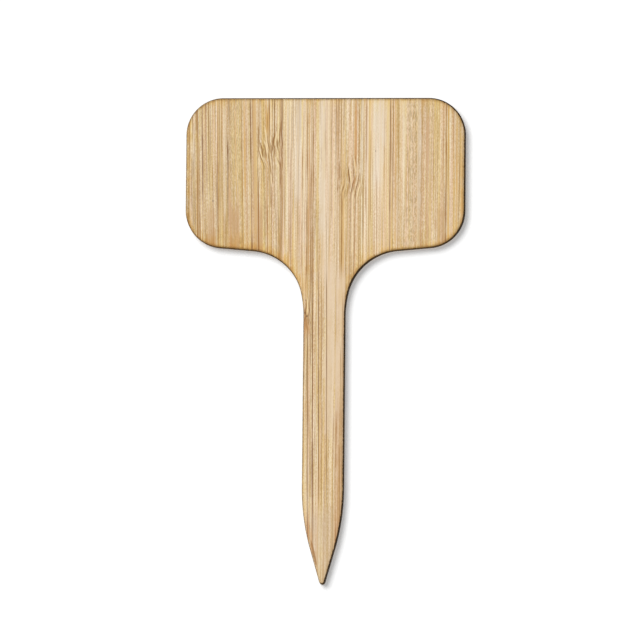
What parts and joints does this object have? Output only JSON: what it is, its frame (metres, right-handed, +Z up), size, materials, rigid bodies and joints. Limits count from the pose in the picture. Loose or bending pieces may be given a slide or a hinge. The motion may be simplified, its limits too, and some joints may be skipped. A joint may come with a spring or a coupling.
{
  "type": "plant label stake",
  "caption": "Flat T-shaped bamboo plant label: a blank rounded blade that flares into a straight stem with a pointed end, laid up from upright strips glued edge to edge.",
  "frame": {"origin": "on the stem's middle line, halfway through the board, at the soil line 50 mm above the tip, where the stake enters the soil", "axes": "+Z up the stake from the point to the top edge, +X to the right as the written face is read, +Y through the board from the written face to the back"},
  "size_m": [0.064, 0.002, 0.112],
  "materials": {
    "bamboo": "matte",
    "glue": "matte"
  },
  "bodies": {
    "root": {"left_edge_strip": "bamboo", "left_outer_strip": "bamboo", "left_middle_strip": "bamboo", "left_inner_strip": "bamboo", "stem_left_strip": "bamboo", "stem_centre_strip": "bamboo", "stem_right_strip": "bamboo", "right_inner_strip": "bamboo", "right_middle_strip": "bamboo", "right_outer_strip": "bamboo", "right_edge_strip": "bamboo", "glue_line_1": "glue", "glue_line_2": "glue", "glue_line_3": "glue", "glue_line_4": "glue", "glue_line_5": "glue", "glue_line_6": "glue", "glue_line_7": "glue", "glue_line_8": "glue", "glue_line_9": "glue", "glue_line_10": "glue"}
  },
  "joints": []
}
